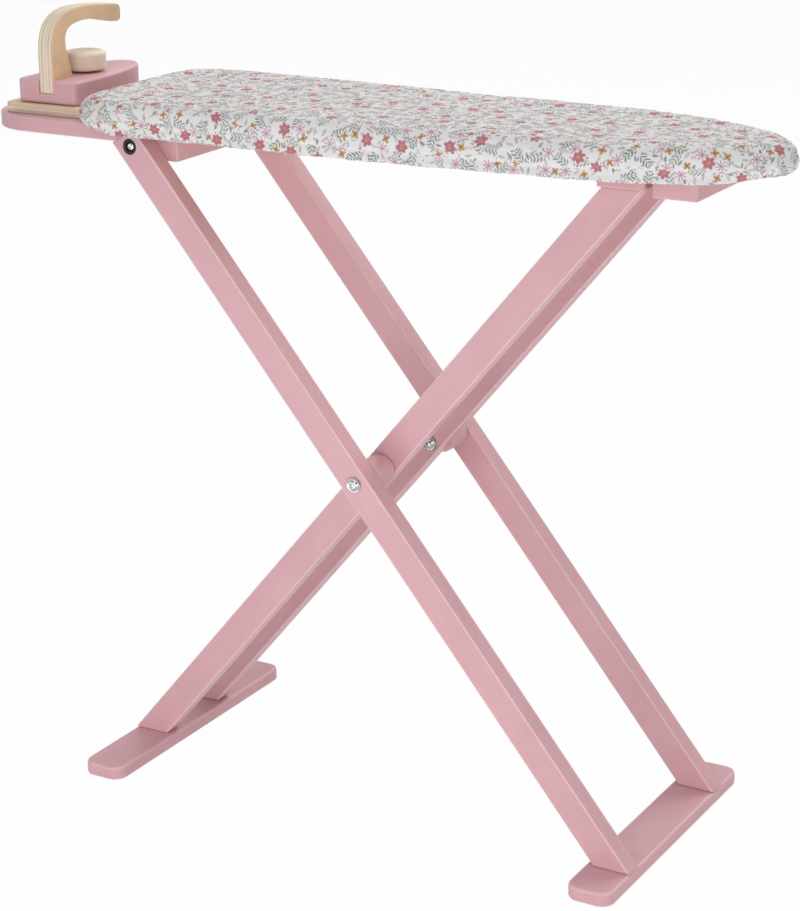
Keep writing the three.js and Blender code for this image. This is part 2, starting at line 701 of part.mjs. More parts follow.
// Pivot batten, with an insert and a bolt in each end; stop batten; iron rest
const insertHoles = [-1, 1].map((side) => {
  const hole = ring(INSERT_DIAMETER / 2 + GAP, 0, insertEnd - INSERT_LENGTH - GAP, battenHalf + GAP, 0, 16);
  return acrossAt(toSide(hole, side), pivotX, PIVOT_HEIGHT);
});
const pivotBattenOutline = roundedRectangle(
  pivotX - PIVOT_BATTEN_BACK,
  pivotX + PIVOT_BATTEN_FRONT,
  battenHalf,
  PLATE_CORNER,
  PLATE_CORNER,
);
const pivotBattenBody = plate(pivotBattenOutline, PIVOT_BATTEN_HIGH, PLATE_EASE, 2)
  .translate(0, 0, seatUnderPanel - PIVOT_BATTEN_HIGH);
add("pivot_batten", cut(pivotBattenBody, [
  ...insertHoles,
  ...pivotScrewRow.map((p) => screwAt(BATTEN_SCREW, p, false, GAP)),
]), paint);

const stopOutline = roundedRectangle(
  stopLow,
  stopLow + STOP_WIDTH,
  stopHalf,
  PLATE_CORNER,
  PLATE_CORNER,
);
const stopBody = plate(stopOutline, STOP_THICK, PLATE_EASE, 2).translate(0, 0, seatUnderPanel - STOP_THICK);
add("stop_batten", cut(stopBody, stopScrewRow.map((p) => screwAt(BATTEN_SCREW, p, false, GAP))), paint);

const restOutline = roundedRectangle(restEnd, restRight, battenHalf, REST_CORNER, PLATE_CORNER);
const restBody = plate(restOutline, REST_THICK, PLATE_EASE, 10).translate(0, 0, seatUnderPanel - REST_THICK);
add("iron_rest", cut(restBody, upHoles), paint);

pivotScrewRow.forEach((p, i) => add(`pivot_batten_screw_${i + 1}`, screwAt(BATTEN_SCREW, p, false), steel));
stopScrewRow.forEach((p, i) => add(`stop_batten_screw_${i + 1}`, screwAt(BATTEN_SCREW, p, false), steel));
restScrewRow.forEach((p, i) => add(`rest_screw_${i + 1}`, screwAt(REST_SCREW, p, true), steel));

// Toy iron standing on the rest
const iron = new THREE.Group();
iron.position.set(ironX, 0, seatUnderPanel + GAP);
object.add(iron);

const bodyBottom = SOLE_THICK + GAP;
const bodyTop = bodyBottom + BODY_HIGH;
const slotBottom = bodyTop - SLOT_DEEP;

// Outline of an iron from above: square heel with round corners, sides drawn in to a rounded tip
function ironShape(half, heel, tip, corner) {
  const shape = new THREE.Shape();
  const bend = (tip - IRON_WAIST) * IRON_FULLNESS;
  const tipWidth = half * IRON_BLUNTNESS;
  shape.moveTo(-half + corner, heel);
  shape.lineTo(half - corner, heel);
  shape.absarc(half - corner, heel + corner, corner, -Math.PI / 2, 0, false);
  shape.lineTo(half, IRON_WAIST);
  shape.bezierCurveTo(half, IRON_WAIST + bend, tipWidth, tip, 0, tip);
  shape.bezierCurveTo(-tipWidth, tip, -half, IRON_WAIST + bend, -half, IRON_WAIST);
  shape.lineTo(-half, heel + corner);
  shape.absarc(-half + corner, heel + corner, corner, Math.PI, 1.5 * Math.PI, false);
  return shape;
}

// Bent handle from its flat side, drawn in Y and Z: a stem on the heel and a bar that reaches over the knob
function handleShape() {
  const back = BODY_HEEL + GAP;
  const foot = slotBottom + GAP;
  const top = HANDLE_TOP;
  const under = top - HANDLE_BAR;
  const waist = back + STEM_WAIST;
  const bend = top - HANDLE_BEND;
  const tip = HANDLE_TIP;
  const nose = HANDLE_NOSE;
  const hollow = under + 2.5;
  const swell = under - HANDLE_SWELL;
  const reach = tip - waist;
  const shape = new THREE.Shape();
  shape.moveTo(back, foot);
  shape.lineTo(back + STEM_FOOT, foot);
  shape.lineTo(back + STEM_FOOT, bodyTop);
  shape.bezierCurveTo(back + STEM_FOOT - 3, bend - nose, waist, bend, waist, bend + nose);
  shape.bezierCurveTo(waist, under, waist + nose, hollow, waist + reach * 0.4, hollow);
  shape.bezierCurveTo(waist + reach * 0.62, hollow, tip - 2 * nose, swell, tip - nose / 2, swell);
  shape.quadraticCurveTo(tip, swell, tip, swell + nose / 2);
  shape.lineTo(tip, top - nose);
  shape.quadraticCurveTo(tip, top - nose / 2, tip - nose * 0.75, top - nose * 0.42);
  shape.bezierCurveTo(tip - reach * 0.38, top - 1.2, back + reach * 0.7, top, back + reach * 0.53, top);
  shape.bezierCurveTo(back + reach * 0.2, top, back, top - nose, back, bend);
  return shape;
}

const handleSlot = box(
  HANDLE_THICK + 2 * GAP,
  STEM_FOOT + 2 * GAP + BODY_CORNER,
  BODY_HIGH,
  [-HANDLE_THICK / 2 - GAP, BODY_HEEL - BODY_CORNER, slotBottom],
);
const knobBottom = bodyTop + KNOB_LIFT;
const axleTop = knobBottom + AXLE_IN_KNOB;
const axleSeat = bodyBottom + GAP;
const upAt = (geometry, y, z) => geometry.rotateX(Math.PI / 2).translate(0, y, z);
const soleScrewRow = [
  [0, BODY_HEEL + STEM_FOOT / 2, 0],
  [0, BODY_TIP / 2, 0],
];
const soleHoles = soleScrewRow.map((p) => screwAt(SOLE_SCREW, p, true, GAP));

const soleOutline = ironShape(SOLE_HALF_WIDTH, SOLE_HEEL, SOLE_TIP, SOLE_CORNER);
add("iron_sole", cut(plate(soleOutline, SOLE_THICK, SOLE_EASE), soleHoles), ply, iron);

const axleHole = turned([
  [0, bodyBottom - GAP],
  [AXLE_HEAD / 2 + GAP, bodyBottom - GAP],
  [AXLE_HEAD / 2 + GAP, axleSeat + AXLE_HEAD_HIGH + GAP],
  [AXLE_DIAMETER / 2 + GAP, axleSeat + AXLE_HEAD_HIGH + GAP],
  [AXLE_DIAMETER / 2 + GAP, bodyTop + GAP],
  [0, bodyTop + GAP],
], 20);
const bodyOutline = ironShape(BODY_HALF_WIDTH, BODY_HEEL, BODY_TIP, BODY_CORNER);
add("iron_body", cut(plate(bodyOutline, BODY_HIGH, BODY_EASE).translate(0, 0, bodyBottom), [
  handleSlot,
  upAt(axleHole, KNOB_Y, 0),
  ...soleHoles,
]), paint, iron);

const handle = plate(handleShape(), HANDLE_THICK, HANDLE_EASE)
  .applyMatrix4(new THREE.Matrix4().makeBasis(
    new THREE.Vector3(0, 1, 0),
    new THREE.Vector3(0, 0, 1),
    new THREE.Vector3(1, 0, 0),
  ))
  .translate(-HANDLE_THICK / 2, 0, 0);
add("iron_handle", handle, ply, iron);

const knobTop = knobBottom + KNOB_HIGH;
const knobRadius = KNOB_DIAMETER / 2;
const knobBore = AXLE_DIAMETER / 2 + GAP;
const roundEdge = (middle, height, start) => [0, 1, 2, 3].map((step) => {
  const angle = start + (step / 3) * (Math.PI / 2);
  return [middle + KNOB_EASE * Math.cos(angle), height + KNOB_EASE * Math.sin(angle)];
});
const knob = turned([
  [0, axleTop + GAP],
  [knobBore, axleTop + GAP],
  [knobBore, knobBottom],
  ...roundEdge(knobRadius - KNOB_EASE, knobBottom + KNOB_EASE, -Math.PI / 2),
  ...roundEdge(knobRadius - KNOB_EASE, knobTop - KNOB_EASE, 0),
  [0, knobTop],
], 36);
add("iron_knob", upAt(knob, KNOB_Y, 0), beech, iron);

const axle = turned([
  [0, axleSeat],
  [AXLE_HEAD / 2, axleSeat],
  [AXLE_HEAD / 2, axleSeat + AXLE_HEAD_HIGH],
  [AXLE_DIAMETER / 2, axleSeat + AXLE_HEAD_HIGH],
  [AXLE_DIAMETER / 2, axleTop],
  [0, axleTop],
], 20);
add("knob_axle", upAt(axle, KNOB_Y, 0), beech, iron);
soleScrewRow.forEach((p, i) => add(`iron_sole_screw_${i + 1}`, screwAt(SOLE_SCREW, p, true), steel, iron));

export default object;
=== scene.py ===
import math
import random
import bmesh
import bpy
from mathutils import Matrix, Vector


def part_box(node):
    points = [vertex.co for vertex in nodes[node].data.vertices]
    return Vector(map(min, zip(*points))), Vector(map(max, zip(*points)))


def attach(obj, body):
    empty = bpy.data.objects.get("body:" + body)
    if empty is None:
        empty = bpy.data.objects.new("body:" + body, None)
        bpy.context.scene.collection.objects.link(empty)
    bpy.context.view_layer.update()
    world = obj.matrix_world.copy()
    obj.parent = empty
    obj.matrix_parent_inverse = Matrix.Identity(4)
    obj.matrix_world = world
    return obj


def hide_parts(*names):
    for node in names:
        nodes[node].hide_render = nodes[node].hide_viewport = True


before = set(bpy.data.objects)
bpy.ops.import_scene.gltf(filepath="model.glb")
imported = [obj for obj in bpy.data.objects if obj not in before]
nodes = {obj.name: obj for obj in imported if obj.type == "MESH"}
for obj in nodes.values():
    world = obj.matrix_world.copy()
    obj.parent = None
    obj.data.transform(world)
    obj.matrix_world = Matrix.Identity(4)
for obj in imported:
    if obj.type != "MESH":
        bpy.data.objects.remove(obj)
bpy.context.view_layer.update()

# Camera. It stands off the board's near side, turned towards the square end, a little above the ironing surface,
# with a long lens, so that the whole toy fills the picture.
camera_turn = math.radians(30.275)
camera_tilt = math.radians(17.598)
camera_roll = math.radians(-0.707)
level = Vector((math.cos(camera_turn), math.sin(camera_turn), 0))
look = Vector((
    -math.sin(camera_turn) * math.cos(camera_tilt),
    math.cos(camera_turn) * math.cos(camera_tilt),
    -math.sin(camera_tilt),
))
above = level.cross(look)
right = level * math.cos(camera_roll) + above * math.sin(camera_roll)
up = above * math.cos(camera_roll) - level * math.sin(camera_roll)
camera_data = bpy.data.cameras.new("camera")
camera_data.sensor_fit = "HORIZONTAL"
camera_data.sensor_width = 36
camera_data.lens = 110.71
camera_data.shift_x = 0.00194
camera_data.shift_y = -0.04146
camera_data.clip_end = 50
camera = bpy.data.objects.new("camera", camera_data)
bpy.context.scene.collection.objects.link(camera)
past_nose, off_middle, above_floor = 0.5562, -1.4597, 0.8159
camera_spot = Vector((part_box("board_cover")[1].x + past_nose, off_middle, above_floor))
camera.matrix_world = Matrix((
    (right.x, up.x, -look.x, camera_spot.x),
    (right.y, up.y, -look.y, camera_spot.y),
    (right.z, up.z, -look.z, camera_spot.z),
    (0, 0, 0, 1),
))
bpy.context.scene.camera = camera
bpy.context.scene.view_settings.view_transform = "Standard"


# Studio. A white paper sweep with a low wide lamp close in front and a small one above it, one on the right, one
# overhead and a broad one high behind. The white round the toy is for the camera and for reflections; the room's
# own light is much softer.
def wire(tree, kind, inputs=None, **settings):
    """Adds a node, sets its plain values and links the sockets it is given."""
    node = tree.nodes.new(kind)
    for key, value in settings.items():
        setattr(node, key, value)
    for key, value in (inputs or {}).items():
        socket = node.inputs[key]
        if isinstance(value, bpy.types.NodeSocket):
            tree.links.new(value, socket)
        else:
            socket.default_value = value
    return node


def reckon(tree, kind, *values):
    """One step of arithmetic on sockets or plain numbers."""
    return wire(tree, "ShaderNodeMath", dict(enumerate(values)), operation=kind).outputs[0]


def spread(tree, value, low, high, new_low, new_high):
    """Maps the range from low to high onto a new one, held at its ends."""
    return wire(tree, "ShaderNodeMapRange", {"Value": value, "From Min": low, "From Max": high, "To Min": new_low,
                                             "To Max": new_high}).outputs[0]


def blank_material(name):
    """A material with an empty node tree."""
    material = bpy.data.materials.new(name)
    material.use_nodes = True
    material.node_tree.nodes.clear()
    return material, material.node_tree


room_light, backdrop_light = 0.18, 1.0
world = bpy.data.worlds.new("studio")
bpy.context.scene.world = world
world.use_nodes = True
world_tree = world.node_tree
world_tree.nodes.clear()
path = wire(world_tree, "ShaderNodeLightPath").outputs
heading = wire(world_tree, "ShaderNodeSeparateXYZ", {0: wire(world_tree, "ShaderNodeTexCoord").outputs["Generated"]})
sweep = spread(world_tree, heading.outputs[1], -0.75, -0.1, 0.1, 1.0)
mirrored = reckon(world_tree, "MULTIPLY", path["Is Glossy Ray"], sweep)
seen = reckon(world_tree, "MAXIMUM", path["Is Camera Ray"], mirrored)
seen = reckon(world_tree, "MAXIMUM", seen, path["Is Transmission Ray"])
room = wire(world_tree, "ShaderNodeBackground", {"Color": (1, 1, 1, 1), "Strength": room_light})
white = wire(world_tree, "ShaderNodeBackground", {"Color": (1, 1, 1, 1), "Strength": backdrop_light})
backdrop = wire(world_tree, "ShaderNodeMixShader", {0: seen, 1: room.outputs[0], 2: white.outputs[0]})
wire(world_tree, "ShaderNodeOutputWorld", {"Surface": backdrop.outputs[0]})

lamp_aim = Vector((0, 0, 0.28))
for lamp_name, spot, width, height, power in (
    ("front_lamp", (0.0, -0.8, 0.16), 1.4, 0.3, 3.2),
    ("fill_lamp", (0.2, -1.3, 0.9), 0.6, 0.6, 3.0),
    ("right_lamp", (1.7, -0.4, 0.36), 0.9, 0.6, 5.8),
    ("top_lamp", (0.0, -0.1, 1.8), 1.2, 1.2, 9.0),
    ("back_lamp", (0.2, 2.0, 1.9), 1.6, 1.6, 27),
):
    lamp_data = bpy.data.lights.new(lamp_name, "AREA")
    lamp_data.shape = "RECTANGLE"
    lamp_data.size = width
    lamp_data.size_y = height
    lamp_data.energy = power
    lamp = bpy.data.objects.new(lamp_name, lamp_data)
    lamp.visible_camera = False
    bpy.context.scene.collection.objects.link(lamp)
    turned = (lamp_aim - Vector(spot)).to_track_quat("-Z", "Y")
    lamp.matrix_world = Matrix.Translation(spot) @ turned.to_matrix().to_4x4()

floor_size, floor_level, glow_share = 12, -0.0002, 0.97
bpy.ops.object.select_all(action="DESELECT")
bpy.ops.mesh.primitive_plane_add(size=floor_size, location=(0, 0, floor_level))
floor = bpy.context.object
floor.name = "floor"
floor_paper, floor_tree = blank_material("floor_paper")
path = wire(floor_tree, "ShaderNodeLightPath").outputs
paper = wire(floor_tree, "ShaderNodeBsdfDiffuse", {"Color": (0.93, 0.93, 0.93, 1)})
glow = wire(floor_tree, "ShaderNodeEmission", {"Color": (1, 1, 1, 1), "Strength": 1.0})
lit = wire(floor_tree, "ShaderNodeMixShader", {0: glow_share, 1: paper.outputs[0], 2: glow.outputs[0]})
seen = reckon(floor_tree, "MAXIMUM", path["Is Camera Ray"], path["Is Glossy Ray"])
seen = reckon(floor_tree, "MAXIMUM", seen, path["Is Transmission Ray"])
pick = wire(floor_tree, "ShaderNodeMixShader", {0: seen, 1: paper.outputs[0], 2: lit.outputs[0]})
wire(floor_tree, "ShaderNodeOutputMaterial", {"Surface": pick.outputs[0]})
floor.data.materials.append(floor_paper)


# Painted frame. Legs, feet, crossbar, battens, iron rest and spacers are solid wood, sanded, eased along the edges
# and sprayed with a satin dusty-pink paint through which the grain still shows as faint raised lines.
def noise(tree, place, scale, detail, rough=0.5):
    """Soft noise: how fine it is, how many finer layers lie on it, and how strong those are."""
    return wire(tree, "ShaderNodeTexNoise", {"Vector": place, "Scale": scale, "Detail": detail,
                                             "Roughness": rough}).outputs[0]


def stretched(tree, place, scale):
    """The place scaled along each axis, which draws a pattern out along the grain."""
    return wire(tree, "ShaderNodeMapping", {"Vector": place, "Scale": scale}).outputs[0]


def two_tones(tree, value, low, low_tone, high, high_tone):
    """A colour that runs from one tone to another as the value goes from low to high."""
    ramp = wire(tree, "ShaderNodeValToRGB", {"Fac": value})
    first, last = ramp.color_ramp.elements
    first.position, first.color = low, low_tone + (1,)
    last.position, last.color = high, high_tone + (1,)
    return ramp.outputs[0]


def mixed(tree, share, under, over):
    """One colour laid over another by a share."""
    return wire(tree, "ShaderNodeMix", {"Factor": share, "A": under, "B": over}, data_type="RGBA").outputs[2]


def coat(tree, colour, rough, relief, strength, depth, shine):
    """Ends a material in one surface: its colour, roughness, relief and shine."""
    bump = wire(tree, "ShaderNodeBump", {"Height": relief, "Strength": strength, "Distance": depth})
    shader = wire(tree, "ShaderNodeBsdfPrincipled", {
        "Base Color": colour, "Roughness": rough, "Normal": bump.outputs[0], "Specular IOR Level": shine})
    wire(tree, "ShaderNodeOutputMaterial", {"Surface": shader.outputs[0]})
    return shader


def painted_wood(name, turn=(0, 0, 0), painted_light=0.3):
    """Satin paint over wood whose grain runs along local X after the turn, with a paler highlight painted along its
    edges.
    """
    deep_pink, full_pink, edge_highlight_pink = (0.640, 0.357, 0.396), (0.705, 0.416, 0.452), (0.880, 0.660, 0.685, 1)
    paint, tree = blank_material(name)
    place = wire(tree, "ShaderNodeTexCoord").outputs
    along = wire(tree, "ShaderNodeMapping", {"Vector": place["Object"], "Rotation": turn}).outputs[0]
    grain = noise(tree, stretched(tree, along, (22, 900, 900)), 1.0, 4, 0.6)
    broad = noise(tree, stretched(tree, along, (5, 160, 160)), 1.0, 2)
    cloud = noise(tree, place["Object"], 26, 3)
    pimples = noise(tree, place["Object"], 2600, 1)
    tone = reckon(tree, "MULTIPLY_ADD", grain, 0.35, cloud)
    tone = reckon(tree, "MULTIPLY_ADD", broad, 0.25, tone)
    colour = two_tones(tree, tone, 0.45, deep_pink, 1.0, full_pink)
    facing = wire(tree, "ShaderNodeMapping", {"Vector": place["Normal"], "Rotation": turn}, vector_type="VECTOR")
    upward = wire(tree, "ShaderNodeSeparateXYZ", {0: facing.outputs[0]}).outputs[2]
    upward = reckon(tree, "MULTIPLY", upward, upward)
    slant = reckon(tree, "MINIMUM", upward, reckon(tree, "SUBTRACT", 1.0, upward))
    # painted highlight: the rounded edges are mixed towards a paler pink
    arris = spread(tree, slant, 0.02, 0.2, 0.0, painted_light)
    colour = mixed(tree, arris, colour, edge_highlight_pink)
    sheen = spread(tree, cloud, 0.3, 0.7, 0.40, 0.52)
    relief = reckon(tree, "MULTIPLY_ADD", grain, 0.7, broad)
    relief = reckon(tree, "MULTIPLY_ADD", pimples, 0.25, relief)
    coat(tree, colour, sheen, relief, 0.11, 0.0004, 0.42)
    return paint


def dress(node_name, material):
    """Gives a solid of the frame its finish."""
    nodes[node_name].data.materials.clear()
    nodes[node_name].data.materials.append(material)


outer_leg_lean, inner_leg_lean = math.radians(-50.96), math.radians(49.98)
# how strongly the painted edge highlight shows on the legs and on the spacers
leg_edge_highlight, spacer_edge_highlight = 0.75, 0.0
crosswise = (0, 0, math.radians(-90))
outer_leg_paint = painted_wood("outer_leg_paint", (0, outer_leg_lean, 0), leg_edge_highlight)
inner_leg_paint = painted_wood("inner_leg_paint", (0, inner_leg_lean, 0), leg_edge_highlight)
cross_piece_paint = painted_wood("cross_piece_paint", crosswise)
rest_paint = painted_wood("rest_paint", crosswise)
for node_name in ("outer_leg_front", "outer_leg_back"):
    dress(node_name, outer_leg_paint)
for node_name in ("inner_leg_front", "inner_leg_back"):
    dress(node_name, inner_leg_paint)
for node_name in ("outer_foot", "inner_foot", "inner_crossbar", "pivot_batten", "stop_batten"):
    dress(node_name, cross_piece_paint)
for node_name in ("spacer_front", "spacer_back"):
    dress(node_name, painted_wood(node_name + "_paint", crosswise, spacer_edge_highlight))
dress("iron_rest", rest_paint)


# Hardware. Plated bolts, sleeve nuts, inserts and wood screws hold the frame; only the heads at the crossing, in
# grey zinc, and at the board's pivot, in dark nickel, can be seen.
def plated_steel(name, colour, rough):
    """Plating with a fine fleck and soft clouds in its shine."""
    steel, tree = blank_material(name)
    place = wire(tree, "ShaderNodeTexCoord").outputs["Object"]
    fleck = noise(tree, place, 1800, 3)
    cloud = noise(tree, place, 260, 2)
    dull = spread(tree, fleck, 0.3, 0.7, rough - 0.03, rough + 0.05)
    tint = two_tones(tree, cloud, 0.3, tuple(0.86 * c for c in colour), 0.7, colour)
    shader = coat(tree, tint, dull, fleck, 0.03, 0.0001, 0.5)
    shader.inputs["Metallic"].default_value = 1.0
    return steel


zinc = plated_steel("zinc_plate", (0.52, 0.54, 0.55), 0.12)
nickel = plated_steel("dark_nickel", (0.62, 0.66, 0.65), 0.10)
screw_steel = plated_steel("screw_steel", (0.55, 0.54, 0.50), 0.38)
for node_name in nodes:
    if "_screw_" in node_name:
        dress(node_name, screw_steel)
    elif node_name.startswith(("cross_nut", "pivot_insert")):
        dress(node_name, zinc)


def turned_head(name, seat, side, rings, material):
    """A round head turned on its axis: rings of (radius, height) from its seat out towards side, both ends closed."""
    bpy.ops.object.select_all(action="DESELECT")
    bpy.ops.mesh.primitive_circle_add(vertices=56, radius=rings[0][0], fill_type="NGON", location=seat,
                                      rotation=(math.pi / 2, 0, 0))
    head = bpy.context.object
    head.name = name
    bpy.ops.object.transform_apply(location=True, rotation=True, scale=True)
    bpy.ops.object.mode_set(mode="EDIT")
    bpy.ops.mesh.select_all(action="SELECT")
    for (radius, height), (next_radius, next_height) in zip(rings, rings[1:]):
        bpy.ops.mesh.extrude_region_move(TRANSFORM_OT_translate={"value": (0, side * (next_height - height), 0)})
        bpy.ops.transform.resize(value=(next_radius / radius, 1, next_radius / radius),
                                 center_override=(seat.x, seat.y + side * next_height, seat.z))
    bpy.ops.mesh.select_all(action="SELECT")
    bpy.ops.mesh.normals_make_consistent(inside=False)
    bpy.ops.object.mode_set(mode="OBJECT")
    bpy.ops.object.shade_smooth_by_angle(angle=math.radians(40))
    head.data.materials.append(material)
    return head


# The crossing's bolts have flanged button heads with a round drive, the same on the nuts' side; the pivot bolts have
# small domed heads.
button = [(0.0054, 0.0), (0.0054, 0.0008), (0.0051, 0.0011), (0.0045, 0.0011), (0.0040, 0.0008), (0.0037, 0.0013),
          (0.0030, 0.0020), (0.0022, 0.0023), (0.0018, 0.0022), (0.0016, 0.0012), (0.0009, 0.0011), (0.0007, 0.0016),
          (0.0002, 0.0017)]
dome = [(0.0031, 0.0), (0.0031, 0.0008), (0.0029, 0.0014), (0.0024, 0.0019), (0.0017, 0.0022), (0.0013, 0.0021),
        (0.0011, 0.0012), (0.0002, 0.0012)]
head_height, seat_play, cap_gap = 0.0024, 0.00005, 0.0003
crossing_shank, pivot_shank = 0.0029, 0.0022


def turned_bolt(name, node_name, side, shank_radius, head, material):
    """A bolt turned in one piece, as long as the solid it stands for, with its head out towards side."""
    low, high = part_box(node_name)
    middle = (low + high) / 2
    tip = Vector((middle.x, high.y if side < 0 else low.y, middle.z))
    shank = high.y - low.y - head_height
    under_head = shank + seat_play
    rings = [(shank_radius, 0.0), (shank_radius, under_head), (head[0][0], under_head)]
    rings += [(radius, shank + height) for radius, height in head[1:]]
    return turned_head(name, tip, side, rings, material)


for end, side in (("front", -1), ("back", 1)):
    bolt = turned_bolt("crossing_bolt_" + end, "cross_bolt_" + end, side, crossing_shank, button, zinc)
    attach(bolt, "outer_frame")
    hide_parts("cross_bolt_" + end)
    low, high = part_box("cross_bolt_" + end)
    cap_seat = (low + high) / 2
    low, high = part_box("cross_nut_" + end)
    cap_seat.y = (high.y if side < 0 else low.y) - side * cap_gap
    cap = turned_head("crossing_nut_cap_" + end, cap_seat, -side, button, zinc)
    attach(cap, "outer_frame")
    bolt = turned_bolt("board_pivot_bolt_" + end, "pivot_bolt_" + end, side, pivot_shank, dome, nickel)
    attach(bolt, "board")
    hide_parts("pivot_bolt_" + end)


# Pivot washers. A black cup washer, moulded in one piece, lines each round pocket in an outer leg's top and is held
# there by the pivot bolt's head.
washer_black, washer_tree = blank_material("washer_black")
pits = noise(washer_tree, wire(washer_tree, "ShaderNodeTexCoord").outputs["Object"], 2200, 2)
washer_tint = two_tones(washer_tree, pits, 0.0, (0.012, 0.013, 0.015), 1.0, (0.032, 0.033, 0.036))
washer_dull = spread(washer_tree, pits, 0.0, 1.0, 0.38, 0.58)
coat(washer_tree, washer_tint, washer_dull, pits, 0.2, 0.0002, 0.25)
dress("pivot_washer_front", washer_black)
dress("pivot_washer_back", washer_black)


# Plywood pieces. The iron's sole and handle and the board's panel are cut from birch plywood: plain tan face
# veneers, and stripes of cream and darker plies with thin glue lines wherever the cut edge shows.
def birch_ply(name, layer_axis, low, high, tones, grain_scale):
    """Plies are stacked along one axis from low to high, one tone for each."""
    glue_brown = (0.30, 0.19, 0.11, 1)
    count = len(tones)
    wood, tree = blank_material(name)
    place = wire(tree, "ShaderNodeTexCoord").outputs["Object"]
    split = wire(tree, "ShaderNodeSeparateXYZ", {0: place})
    layer = spread(tree, split.outputs[layer_axis], low, high, 0.004, 0.996)
    stripe = wire(tree, "ShaderNodeValToRGB", {"Fac": layer})
    stripe.color_ramp.interpolation = "CONSTANT"
    stripe.color_ramp.elements[0].color = tones[0] + (1,)
    stripe.color_ramp.elements[1].position = 1 / count
    stripe.color_ramp.elements[1].color = tones[1] + (1,)
    for i in range(2, count):
        stripe.color_ramp.elements.new(i / count).color = tones[i] + (1,)
    inside = reckon(tree, "FRACT", reckon(tree, "MULTIPLY", layer, count))
    from_middle = reckon(tree, "ABSOLUTE", reckon(tree, "SUBTRACT", inside, 0.5))
    glue = spread(tree, from_middle, 0.40, 0.48, 0.0, 0.38)
    from_face = reckon(tree, "ABSOLUTE", reckon(tree, "SUBTRACT", layer, 0.5))
    buried = reckon(tree, "LESS_THAN", from_face, 0.5 - 0.5 / count)
    glue = reckon(tree, "MULTIPLY", glue, buried)
    grain = noise(tree, stretched(tree, place, grain_scale), 1.0, 5, 0.65)
    shade = spread(tree, grain, 0.25, 0.75, 0.88, 1.06)
    grained = wire(tree, "ShaderNodeVectorMath", {0: stripe.outputs[0], "Scale": shade}, operation="SCALE")
    seam = mixed(tree, glue, grained.outputs[0], glue_brown)
    rough = spread(tree, grain, 0.3, 0.7, 0.46, 0.58)
    coat(tree, seam, rough, grain, 0.15, 0.0003, 0.35)
    return wood


face_tan, sole_tan = (0.795, 0.560, 0.350), (0.750, 0.590, 0.420)
ply_cream, ply_oat, ply_straw = (0.930, 0.820, 0.670), (0.770, 0.625, 0.460), (0.850, 0.715, 0.545)
handle_low, handle_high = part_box("iron_handle")
handle_tones = [face_tan, ply_cream, ply_oat, ply_cream, ply_straw, ply_cream, ply_oat, ply_cream, face_tan]
dress("iron_handle", birch_ply("handle_ply", 0, handle_low.x, handle_high.x, handle_tones, (700, 60, 60)))
sole_low, sole_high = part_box("iron_sole")
sole_tones = [ply_cream, ply_straw, ply_cream, ply_oat, sole_tan]
dress("iron_sole", birch_ply("sole_ply", 2, sole_low.z, sole_high.z, sole_tones, (40, 420, 900)))
panel_low, panel_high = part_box("board_panel")
panel_tones = [face_tan, ply_cream, ply_oat, ply_cream, ply_oat, ply_cream, face_tan]
dress("board_panel", birch_ply("panel_ply", 2, panel_low.z, panel_high.z, panel_tones, (18, 380, 900)))

# Iron body. A block of wood sawn to a point, slotted in its heel for the bent handle and painted like the frame. Two
# screws hold it on the sole from below.
dress("iron_body", painted_wood("iron_body_paint", crosswise))

# Knob and axle. A disc turned from pale beech, left bare under a clear coat, spins on a dowel that is set in the
# iron's body.
beech, beech_tree = blank_material("pale_beech")
beech_pale, beech_light, fleck_brown = (0.890, 0.730, 0.580), (0.950, 0.820, 0.690), (0.44, 0.29, 0.19, 1)
beech_place = wire(beech_tree, "ShaderNodeTexCoord").outputs["Object"]
beech_grain = noise(beech_tree, stretched(beech_tree, beech_place, (60, 700, 900)), 1.0, 5, 0.6)
beech_rays = stretched(beech_tree, beech_place, (420, 2400, 1500))
fleck = wire(beech_tree, "ShaderNodeTexVoronoi", {"Vector": beech_rays, "Scale": 1.0}).outputs["Distance"]
flecked = spread(beech_tree, fleck, 0.05, 0.3, 0.3, 0.0)
beech_tone = two_tones(beech_tree, beech_grain, 0.32, beech_pale, 0.68, beech_light)
beech_tone = mixed(beech_tree, flecked, beech_tone, fleck_brown)
coat(beech_tree, beech_tone, 0.5, beech_grain, 0.15, 0.0003, 0.35)
dress("iron_knob", beech)
dress("knob_axle", beech)


# Padding. A sheet of soft foam cut to the board's outline and glued on the panel, rounded over along its upper edge
# and slightly crowned.
nose_reach, end_reach, shoulder_reach = 0.287, 0.237, 0.168
middle_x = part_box("board_cover")[1].x - nose_reach
board_end, nose_tip, shoulder_x = middle_x - end_reach, middle_x + nose_reach, middle_x + shoulder_reach
end_half, shoulder_half = 0.0846, 0.0678
end_corner, shoulder_run, nose_bluntness = 0.044, 0.054, 0.027
nose_pull_from, nose_pull_over = 0.040, 0.032
end_pull_from, end_pull_over = 0.047, 0.022


def pull_at(spot):
    """How hard the hem is drawn in: not at all along the sides, most round the nose and the square end's corners."""
    share = max((spot.x - nose_tip + nose_pull_from) / nose_pull_over,
                (board_end + end_pull_from - spot.x) / end_pull_over)
    share = min(1.0, max(0.0, share))
    return share * share * (3 - 2 * share)


